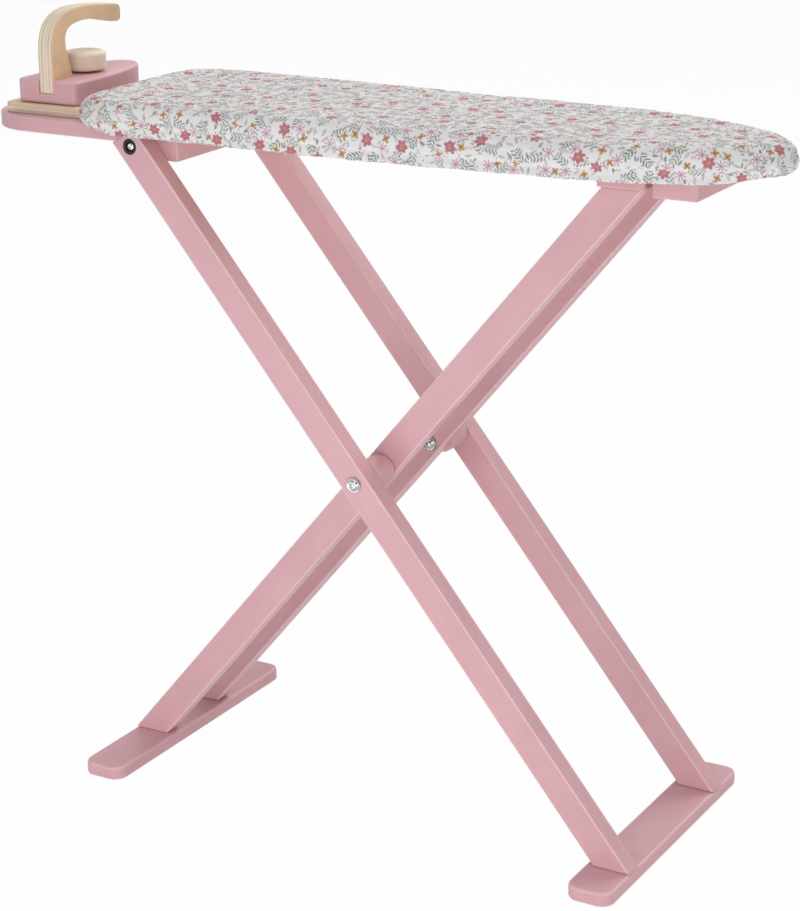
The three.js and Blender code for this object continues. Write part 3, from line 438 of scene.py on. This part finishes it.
def half_outline(count, closer):
    """The board's outline from the nose's tip along its back to the square end, in steps closer where it bends."""
    nose_steps, side_steps, corner_steps, end_steps = 400, 600, 200, 100
    taper = (end_half - shoulder_half) / (shoulder_x - board_end)
    control = Vector((shoulder_x + shoulder_run, shoulder_half - taper * shoulder_run))
    tip, blunt = Vector((nose_tip, 0)), Vector((nose_tip, nose_bluntness))
    shoulder = Vector((shoulder_x, shoulder_half))
    corner_in = Vector((board_end + end_corner, end_half - taper * end_corner))
    corner = Vector((board_end, end_half))
    corner_out = Vector((board_end, end_half - end_corner))
    fine = []
    for i in range(nose_steps):
        t = i / nose_steps
        fine.append(tip * (1 - t) ** 3 + blunt * 3 * t * (1 - t) ** 2
                    + control * 3 * t * t * (1 - t) + shoulder * t ** 3)
    fine += [shoulder.lerp(corner_in, i / side_steps) for i in range(side_steps)]
    for i in range(corner_steps):
        t = i / corner_steps
        fine.append(corner_in * (1 - t) ** 2 + corner * 2 * t * (1 - t) + corner_out * t * t)
    fine += [corner_out.lerp(Vector((board_end, 0)), i / end_steps) for i in range(end_steps + 1)]
    run = [0.0]
    for a, b in zip(fine, fine[1:]):
        run.append(run[-1] + (b - a).length * (1 + closer * pull_at(a)))
    points, at = [], 0
    for i in range(count):
        want = run[-1] * i / (count - 1)
        while at < len(run) - 2 and run[at + 1] < want:
            at += 1
        points.append(fine[at].lerp(fine[at + 1], (want - run[at]) / max(run[at + 1] - run[at], 1e-12)))
    return points


def whole_outline(count, closer):
    """The whole outline, with the outward direction at each point; point i and point -i lie across from each other."""
    half = half_outline(count, closer)
    points = half + [Vector((p.x, -p.y)) for p in reversed(half[1:-1])]
    outward = []
    for i, p in enumerate(points):
        step = points[(i + 1) % len(points)] - points[i - 1]
        outward.append(Vector((step.y, -step.x)).normalized())
    return points, outward


def skin_over(name, points, outward, rows, spine_rows, top):
    """A skin from the middle of the top out over the edge. A row holds (inset, height, run of cloth) for each point."""
    spine_end, flat_share = 0.075, 0.6
    count = len(points)
    mesh = bpy.data.meshes.new(name)
    places, flats = [], []
    edge_inset, edge_height = rows[0][0][:2]
    for share in spine_rows:
        for p, n in zip(points, outward):
            rim = p - n * edge_inset
            spine = Vector((min(max(rim.x, board_end + spine_end), nose_tip - spine_end), 0))
            spot = spine.lerp(rim, share)
            drop = (top - edge_height) * max(0.0, (share - flat_share) / (1 - flat_share)) ** 2
            places.append((spot.x, spot.y, top - drop))
            flats.append((spot.x, spot.y))
    for row in rows:
        for p, n, (inset, height, cloth) in zip(points, outward, row):
            spot = p - n * inset
            flat = p - n * (edge_inset - cloth)
            places.append((spot.x, spot.y, height))
            flats.append((flat.x, flat.y))
    faces = []
    for row in range(len(spine_rows) + len(rows) - 1):
        for i in range(count):
            j = (i + 1) % count
            faces.append((row * count + i, (row + 1) * count + i, (row + 1) * count + j, row * count + j))
    for i in range(count // 2):
        across = [i, i + 1, (count - i - 1) % count, (count - i) % count]
        faces.append(tuple(dict.fromkeys(across)))
    mesh.from_pydata(places, [], faces)
    mesh.validate()
    return mesh, flats


def object_of(name, mesh):
    """A new object, the only one selected."""
    piece = bpy.data.objects.new(name, mesh)
    bpy.context.scene.collection.objects.link(piece)
    bpy.ops.object.select_all(action="DESELECT")
    bpy.context.view_layer.objects.active = piece
    piece.select_set(True)
    return piece


pad_points, pad_outward = whole_outline(120, 0.5)
pad_low, pad_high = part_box("board_padding")
pad_crown, pad_flat_inset, pad_steps = 0.0008, 0.016, 6
pad_inset, pulled_inset = 0.0015, 0.0005
pad_round, pulled_round, pulled_drop = 0.0066, 0.0064, 0.0015
pad_ease, pad_gap = 0.0003, 0.0001
pad_edge = pad_high.z - pad_crown
pad_pull = [pull_at(p) for p in pad_points]
pad_rows = [[(pad_flat_inset, pad_edge, 0.0)] * len(pad_points)]
for i in range(1, pad_steps + 1):
    angle = math.pi / 2 * i / pad_steps
    pad_rows.append([
        (pad_inset + pulled_inset * pull + (pad_round + pulled_round * pull) * (1 - math.sin(angle)),
         pad_edge - (pad_round + pulled_drop * pull) * (1 - math.cos(angle)), 0.0) for pull in pad_pull])
for inset, height in ((pad_inset, pad_ease), (pad_inset + pad_ease, pad_gap)):
    pad_rows.append([(inset + pulled_inset * pull, pad_low.z + height, 0.0) for pull in pad_pull])
pad_mesh = skin_over("padding", pad_points, pad_outward, pad_rows, [0.1, 0.3, 0.5, 0.7, 0.85, 0.94], pad_high.z)[0]
padding = object_of("padding", pad_mesh)
bpy.ops.object.mode_set(mode="EDIT")
bpy.ops.mesh.select_all(action="DESELECT")
bpy.ops.mesh.select_mode(type="EDGE")
bpy.ops.mesh.select_non_manifold()
bpy.ops.mesh.fill()
bpy.ops.mesh.select_all(action="SELECT")
bpy.ops.mesh.normals_make_consistent(inside=False)
bpy.ops.object.mode_set(mode="OBJECT")
bpy.ops.object.shade_smooth()
foam, foam_tree = blank_material("soft_foam")
foam_grey, foam_cream = (0.78, 0.76, 0.69), (0.86, 0.85, 0.80)
foam_place = wire(foam_tree, "ShaderNodeTexCoord").outputs["Object"]
foam_cells = wire(foam_tree, "ShaderNodeTexVoronoi", {"Vector": foam_place, "Scale": 900}).outputs["Distance"]
foam_tint = two_tones(foam_tree, noise(foam_tree, foam_place, 60, 3), 0.0, foam_grey, 1.0, foam_cream)
foam_rough = spread(foam_tree, foam_cells, 0.0, 1.0, 0.85, 0.98)
coat(foam_tree, foam_tint, foam_rough, foam_cells, 0.5, 0.0006, 0.2)
padding.data.materials.append(foam)
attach(padding, "board")
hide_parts("board_padding")


# Fabric cover. One piece of printed cotton laid over the padding, drawn down the sides and pulled in under the
# panel by an elastic in its hem; the hem is cut away over the iron rest and beside the outer legs.
cover_points, cover_outward = whole_outline(270, 1.6)
cover_pull = [pull_at(p) for p in cover_points]
cover_low, cover_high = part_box("board_cover")
cover_top, hem_low = cover_high.z, cover_low.z
edge_top = cover_top - 0.0008
edge_inset, hem_lip, cloth_thickness = 0.013, 0.0034, 0.0006
side_round, pulled_side_round = 0.008, 0.005
hem_roll, pulled_hem_roll = 0.0020, 0.0050
hem_drop, pulled_hem_lift = 0.0006, 0.0033


def section(share, pull):
    """Inset, height and run of the cloth at a share of its way from the flat top, down the side, to the hem."""
    rounding = side_round + pulled_side_round * pull
    roll = hem_roll + pulled_hem_roll * pull
    low = hem_low - hem_drop + pulled_hem_lift * pull
    flat = edge_inset - rounding
    arc = rounding * math.pi / 2
    side = edge_top - rounding - low - roll
    run = share * (flat + arc + side + roll * math.pi / 2 + hem_lip)
    if run < flat:
        return edge_inset - run, edge_top, run
    if run < flat + arc:
        turn = (run - flat) / rounding
        return rounding * (1 - math.sin(turn)), edge_top - rounding * (1 - math.cos(turn)), run
    down = run - flat - arc
    if down < side:
        return 0.0, edge_top - rounding - down, run
    turn = min((down - side) / roll, math.pi / 2)
    past = max(0.0, down - side - roll * math.pi / 2)
    return roll * (1 - math.cos(turn)) + past, low + roll * (1 - math.sin(turn)), run


row_count = 28
cover_rows = [[section(k / (row_count - 1), pull) for pull in cover_pull] for k in range(row_count)]
spine_rows = [0.08, 0.2, 0.32, 0.44, 0.55, 0.65, 0.74, 0.82, 0.89, 0.95]
cover_mesh, cover_flat = skin_over("cover", cover_points, cover_outward, cover_rows, spine_rows, cover_top)
cover = object_of("cover", cover_mesh)
ring = len(cover_points)

# The elastic gathers the hem: shallow scallops along the sides, deeper upright folds round the nose and the corners.
full_turn = 6.283
chance = random.Random(11)
waves = [(chance.uniform(0.0068, 0.0125), chance.uniform(0, full_turn)) for i in range(5)]
wave_sum = 2.6
side_fold, pulled_fold, hem_fold = 0.00035, 0.00065, 0.00040
sag, sag_from, sag_pitch = 0.0008, 0.015, 0.36
scallop, scallop_pitch = 0.00030, 0.047
first_side = len(spine_rows) + 8
last_row = len(spine_rows) + row_count - 1
around = [0.0]
for a, b in zip(cover_points, cover_points[1:]):
    around.append(around[-1] + (b - a).length)
for row in range(first_side, last_row + 1):
    low_share = (row - first_side) / (last_row - first_side)
    for i in range(ring):
        s, pull = around[i], cover_pull[i]
        fold = sum(math.sin(full_turn * s / pitch + phase) for pitch, phase in waves) / wave_sum
        depth = side_fold * low_share ** 2 * fold + pulled_fold * pull * min(1.0, 1.5 * low_share) * (1 + fold)
        spot = cover_mesh.vertices[row * ring + i].co
        spot.x += cover_outward[i].x * depth
        spot.y += cover_outward[i].y * depth
        sway = sag * (1 - math.cos(full_turn * (cover_points[i].x - middle_x - sag_from) / sag_pitch))
        sway += scallop * math.sin(full_turn * s / scallop_pitch)
        spot.z += low_share ** 2 * (1 - pull) * (sway + hem_fold * fold)

held = cover.vertex_groups.new(name="held")
for row in range(last_row + 1):
    for i in range(ring):
        if row < len(spine_rows) - 2 or row >= last_row - 4:
            held.add([row * ring + i], 1.0, "REPLACE")
flat_map = cover_mesh.uv_layers.new(name="flat_cut")
for loop in cover_mesh.loops:
    flat_map.data[loop.index].uv = cover_flat[loop.vertex_index]

# The cloth is settled on the padded board by simulation, drawn tight between its top and the held hem.
form_gap, form_depth, settle_frames, most_shift = 0.0006, 16, 16, 0.0012
form_rows = [[(inset + form_gap, height - form_gap * (1 - k / form_depth), run) for inset, height, run in row]
             for k, row in enumerate(cover_rows[:form_depth + 1])]
form_mesh = skin_over("form", cover_points, cover_outward, form_rows, spine_rows, cover_top - form_gap)[0]
form = object_of("form", form_mesh)
form.modifiers.new("collision", "COLLISION")
form.collision.thickness_outer = 0.0002
sewn = cover.modifiers.new("cloth", "CLOTH")
sewn.settings.quality = 6
sewn.settings.mass = 0.1
sewn.settings.tension_stiffness = 30
sewn.settings.compression_stiffness = 30
sewn.settings.shear_stiffness = 12
sewn.settings.bending_stiffness = 0.4
sewn.settings.shrink_min = 0.004
sewn.settings.vertex_group_mass = "held"
sewn.settings.effector_weights.gravity = 0.3
sewn.collision_settings.distance_min = 0.0003
sewn.point_cache.frame_end = settle_frames
for number in range(1, settle_frames + 1):
    bpy.context.scene.frame_set(number)
settled = cover.evaluated_get(bpy.context.evaluated_depsgraph_get()).to_mesh()
moved = [v.co.copy() for v in settled.vertices]
cover.modifiers.remove(sewn)
bpy.context.scene.frame_set(1)
for vertex, spot in zip(cover_mesh.vertices, moved):
    shift = spot - vertex.co
    vertex.co += shift * min(1.0, most_shift / max(shift.length, 1e-9))
bpy.data.objects.remove(form)

# The hem is cut away where the iron rest passes through it and where the outer legs stand.
rest_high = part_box("iron_rest")[1]
leg_low, leg_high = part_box("outer_leg_front")
pivot_x = sum(corner.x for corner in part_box("pivot_washer_front")) / 2
rest_slack, rest_lift = 0.001, 0.0006
notch_half, notch_slack, notch_drop = 0.018, 0.0005, 0.0004
cut_mesh = bmesh.new()
cut_mesh.from_mesh(cover_mesh)
away = []
for face in cut_mesh.faces:
    spot = face.calc_center_median()
    off_side = abs(spot.y)
    over_rest = spot.x < rest_high.x and off_side < rest_high.y + rest_slack and spot.z < rest_high.z + rest_lift
    by_leg = (abs(spot.x - pivot_x) < notch_half and off_side < -leg_low.y + notch_slack
              and spot.z < leg_high.z - notch_drop)
    if over_rest or by_leg:
        away.append(face)
bmesh.ops.delete(cut_mesh, geom=away, context="FACES")
bmesh.ops.recalc_face_normals(cut_mesh, faces=cut_mesh.faces)
top_face = max(cut_mesh.faces, key=lambda face: face.calc_center_median().z)
if top_face.normal.z < 0:
    bmesh.ops.reverse_faces(cut_mesh, faces=cut_mesh.faces)
cut_mesh.to_mesh(cover_mesh)
cut_mesh.free()
bpy.ops.object.select_all(action="DESELECT")
bpy.context.view_layer.objects.active = cover
cover.select_set(True)
bpy.ops.object.shade_smooth()
thick = cover.modifiers.new("thickness", "SOLIDIFY")
thick.thickness = cloth_thickness
thick.offset = -1
bpy.ops.object.modifier_apply(modifier=thick.name)

# Its print is a scatter of small flowers and leaf sprigs in dusty rose, ochre, lilac and sage on an off-white ground.
print_cloth, print_tree = blank_material("printed_cotton")


def sum_of(kind, *values):
    """One step of arithmetic in the print."""
    return reckon(print_tree, kind, *values)


def scatter(cell, offset, loose):
    """Strews one motif: its own millimetres across and up, its distance and turn, and two chances for each."""
    moved = wire(print_tree, "ShaderNodeVectorMath", {0: flat_mm, 1: (1 / cell, 1 / cell, 0), 2: offset},
                 operation="MULTIPLY_ADD")
    cells = wire(print_tree, "ShaderNodeTexVoronoi", {"Vector": moved.outputs[0], "Scale": 1.0, "Randomness": loose},
                 voronoi_dimensions="2D")
    away_from = wire(print_tree, "ShaderNodeVectorMath", {0: moved.outputs[0], 1: cells.outputs["Position"]},
                     operation="SUBTRACT")
    chance_of = wire(print_tree, "ShaderNodeSeparateColor", {0: cells.outputs["Color"]})
    angle = sum_of("MULTIPLY", chance_of.outputs[0], full_turn)
    turned = wire(print_tree, "ShaderNodeVectorRotate", {"Vector": away_from.outputs[0], "Angle": angle},
                  rotation_type="Z_AXIS")
    axes = wire(print_tree, "ShaderNodeSeparateXYZ", {0: turned.outputs[0]})
    x = sum_of("MULTIPLY", axes.outputs[0], cell)
    y = sum_of("MULTIPLY", axes.outputs[1], cell)
    reach = sum_of("SQRT", sum_of("ADD", sum_of("MULTIPLY", x, x), sum_of("MULTIPLY", y, y)))
    return x, y, reach, sum_of("ARCTAN2", y, x), chance_of.outputs[1], chance_of.outputs[2]


def inside_of(value, edge, soft=0.22):
    """1 where value is under edge, with a soft inked border."""
    return spread(print_tree, sum_of("SUBTRACT", value, edge), soft, -soft, 0.0, 1.0)


def petals(turn, count, radius, least, sharp):
    """The edge of a flower with rounded petals."""
    lobe = sum_of("ABSOLUTE", sum_of("COSINE", sum_of("MULTIPLY", turn, count / 2)))
    return sum_of("MULTIPLY_ADD", sum_of("POWER", lobe, sharp), radius * (1 - least), radius * least)


def ink(under, mask, colour):
    """One colour printed over another through a mask."""
    return mixed(print_tree, mask, under, colour)


flat_uv = wire(print_tree, "ShaderNodeUVMap", uv_map="flat_cut").outputs[0]
even_mm = wire(print_tree, "ShaderNodeVectorMath", {0: flat_uv, "Scale": 1000.0}, operation="SCALE").outputs[0]
wobble = wire(print_tree, "ShaderNodeTexNoise", {"Vector": even_mm, "Scale": 0.35, "Detail": 2}).outputs["Color"]
flat_mm = wire(print_tree, "ShaderNodeVectorMath", {0: wobble, 1: (0.9, 0.9, 0), 2: even_mm},
               operation="MULTIPLY_ADD").outputs[0]
paper_tone = noise(print_tree, even_mm, 0.05, 3)
bare = mixed(print_tree, paper_tone, (0.835, 0.826, 0.820, 1), (0.865, 0.858, 0.855, 1))

# pale single leaves in grey and pink, under everything, and darker sage ones among them
x, y, reach, turn, chance_a, chance_b = scatter(6.6, (3.3, 7.1, 0), 0.8)
bow = sum_of("MULTIPLY_ADD", sum_of("MULTIPLY", x, x), -0.105, 0.95)
leaf = mixed(print_tree, chance_a, (0.480, 0.490, 0.485, 1), (0.745, 0.575, 0.595, 1))
ground = ink(bare, inside_of(sum_of("ABSOLUTE", y), bow), leaf)
x, y, reach, turn, chance_a, chance_b = scatter(9.0, (7.7, 5.5, 0), 0.8)
bow = sum_of("MULTIPLY_ADD", sum_of("MULTIPLY", x, x), -0.15, 0.85)
leaf = mixed(print_tree, chance_a, (0.260, 0.300, 0.275, 1), (0.440, 0.440, 0.430, 1))
ground = ink(ground, inside_of(sum_of("ABSOLUTE", y), bow), leaf)

# sage sprigs: a stem with pairs of slanting leaves
x, y, reach, turn, chance_a, chance_b = scatter(15.0, (1.7, 4.2, 0), 0.6)
side = sum_of("ABSOLUTE", y)
step = sum_of("SUBTRACT", sum_of("FLOORED_MODULO", sum_of("SUBTRACT", x, sum_of("MULTIPLY", side, 0.9)), 2.7), 1.35)
blade = sum_of("ADD", sum_of("POWER", sum_of("DIVIDE", step, 0.9), 2.0),
               sum_of("POWER", sum_of("DIVIDE", sum_of("SUBTRACT", side, 1.65), 1.4), 2.0))
within = inside_of(sum_of("ABSOLUTE", x), 5.4)
ground = ink(ground, sum_of("MULTIPLY", inside_of(side, 2.9), within), bare)
leaves = sum_of("MULTIPLY", inside_of(blade, 1.0, 0.3), within)
stem = sum_of("MULTIPLY", inside_of(side, 0.2, 0.15), within)
sage = mixed(print_tree, chance_a, (0.255, 0.300, 0.265, 1), (0.420, 0.455, 0.440, 1))
ground = ink(ground, sum_of("MAXIMUM", leaves, stem), sage)

# lilac daisies with thin petals
x, y, reach, turn, chance_a, chance_b = scatter(20.0, (8.4, 2.6, 0), 0.7)
ground = ink(ground, inside_of(reach, 4.0), bare)
ground = ink(ground, inside_of(reach, petals(turn, 8, 4.3, 0.2, 1.7)), (0.640, 0.420, 0.545, 1))
ground = ink(ground, inside_of(reach, 0.8), (0.560, 0.240, 0.290, 1))

# ochre blossoms with four petals and a brown eye
x, y, reach, turn, chance_a, chance_b = scatter(19.5, (5.9, 9.3, 0), 0.7)
ground = ink(ground, inside_of(reach, 3.1), bare)
ground = ink(ground, inside_of(reach, petals(turn, 4, 2.9, 0.34, 0.8)), (0.575, 0.340, 0.180, 1))
ground = ink(ground, inside_of(reach, 0.75), (0.320, 0.130, 0.070, 1))

# dusty rose flowers with six petals, darker towards an ochre eye
x, y, reach, turn, chance_a, chance_b = scatter(29.0, (2.2, 0.8, 0), 0.7)
rose = mixed(print_tree, sum_of("MULTIPLY", reach, 0.24), (0.400, 0.095, 0.130, 1), (0.590, 0.245, 0.280, 1))
ground = ink(ground, inside_of(reach, 4.8), bare)
ground = ink(ground, inside_of(reach, petals(turn, 6, 4.6, 0.5, 0.6)), rose)
ground = ink(ground, inside_of(reach, 1.5), (0.620, 0.330, 0.350, 1))
ground = ink(ground, inside_of(reach, 0.85), (0.520, 0.260, 0.120, 1))

# seed dots between the motifs
x, y, reach, turn, chance_a, chance_b = scatter(8.5, (6.6, 3.1, 0), 0.9)
dot = mixed(print_tree, sum_of("GREATER_THAN", chance_a, 0.5), (0.420, 0.150, 0.190, 1), (0.240, 0.270, 0.250, 1))
ground = ink(ground, sum_of("MULTIPLY", inside_of(reach, 0.45, 0.2), sum_of("GREATER_THAN", chance_b, 0.5)), dot)

# plain weave of fine yarn; the colour is painted darker in the weave's hollows as painted shade, and varies with the
# yarn's slubs
yarn_turn = 13.0
yarn = wire(print_tree, "ShaderNodeSeparateXYZ", {0: even_mm})
weave = sum_of("MULTIPLY", sum_of("SINE", sum_of("MULTIPLY", yarn.outputs[0], yarn_turn)),
               sum_of("SINE", sum_of("MULTIPLY", yarn.outputs[1], yarn_turn)))
slub = noise(print_tree, even_mm, 1.6, 3)
relief = sum_of("MULTIPLY_ADD", slub, 0.6, weave)
# painted shade in the weave's hollows, together with the slubs' own tone
painted_light = spread(print_tree, relief, -1.0, 1.6, 0.94, 1.02)
printed = wire(print_tree, "ShaderNodeVectorMath", {0: ground, "Scale": painted_light}, operation="SCALE").outputs[0]
cloth_rough = spread(print_tree, slub, 0.0, 1.0, 0.8, 0.95)
cloth_shader = coat(print_tree, printed, cloth_rough, relief, 0.25, 0.0002, 0.2)
cloth_shader.inputs["Sheen Weight"].default_value = 0.12
cloth_shader.inputs["Sheen Roughness"].default_value = 0.5
cover.data.materials.append(print_cloth)
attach(cover, "board")
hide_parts("board_cover")


# Elastic. A narrow flat band of knitted elastic inside the hem, from one outer leg round the nose to the other,
# rippled where the cloth gathers on it.
band_low, band_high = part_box("hem_elastic")
band_mid = (band_low.z + band_high.z) / 2
band_section = ((0.0020, -0.0004), (0.0020, 0.0004), (0.0036, 0.0005), (0.0052, 0.0004), (0.0052, -0.0004),
                (0.0036, -0.0005))
band_end, pulled_in, pulled_flat = 0.001, 0.0052, 0.5
band_lift, pulled_lift, ripple, ripple_pitch = 0.0007, 0.00085, 0.0003, 0.0072
band_run = [(p, n, s) for p, n, s in zip(cover_points, cover_outward, around) if p.x > band_low.x + band_end]
band_run.sort(key=lambda entry: (entry[0].y >= 0, entry[0].x if entry[0].y < 0 else -entry[0].x))
band_places, band_faces = [], []
for p, n, s in band_run:
    pull = pull_at(p)
    lift = band_lift + pulled_lift * pull + ripple * (1 - pull) * math.sin(full_turn * s / ripple_pitch)
    for inset, height in band_section:
        spot = p - n * (inset + pulled_in * pull)
        band_places.append((spot.x, spot.y, band_mid + height * (1 - pulled_flat * pull) + lift))
sides = len(band_section)
last = (len(band_run) - 1) * sides
for start in range(0, last, sides):
    for k in range(sides):
        a, b = start + k, start + (k + 1) % sides
        band_faces.append((a, b, b + sides, a + sides))
band_faces.append(tuple(range(sides)))
band_faces.append(tuple(range(last, last + sides)))
band_mesh = bpy.data.meshes.new("elastic")
band_mesh.from_pydata(band_places, [], band_faces)
elastic = object_of("elastic", band_mesh)
bpy.ops.object.mode_set(mode="EDIT")
bpy.ops.mesh.select_all(action="SELECT")
bpy.ops.mesh.normals_make_consistent(inside=False)
bpy.ops.object.mode_set(mode="OBJECT")
bpy.ops.object.shade_smooth_by_angle(angle=math.radians(50))
knit, knit_tree = blank_material("knitted_elastic")
knit_place = wire(knit_tree, "ShaderNodeTexCoord").outputs["Object"]
ribs = wire(knit_tree, "ShaderNodeTexWave", {"Vector": knit_place, "Scale": 700, "Distortion": 1.5}).outputs[0]
fuzz = noise(knit_tree, knit_place, 3000, 2)
# painted shade: the band is darker in the hollows between its ribs
knit_rib_shade = two_tones(knit_tree, ribs, 0.0, (0.70, 0.69, 0.67), 1.0, (0.86, 0.85, 0.83))
knit_relief = reckon(knit_tree, "MULTIPLY_ADD", fuzz, 0.4, ribs)
knit_rough = spread(knit_tree, fuzz, 0.0, 1.0, 0.8, 0.95)
coat(knit_tree, knit_rib_shade, knit_rough, knit_relief, 0.5, 0.0003, 0.2)
elastic.data.materials.append(knit)
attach(elastic, "board")
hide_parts("hem_elastic")
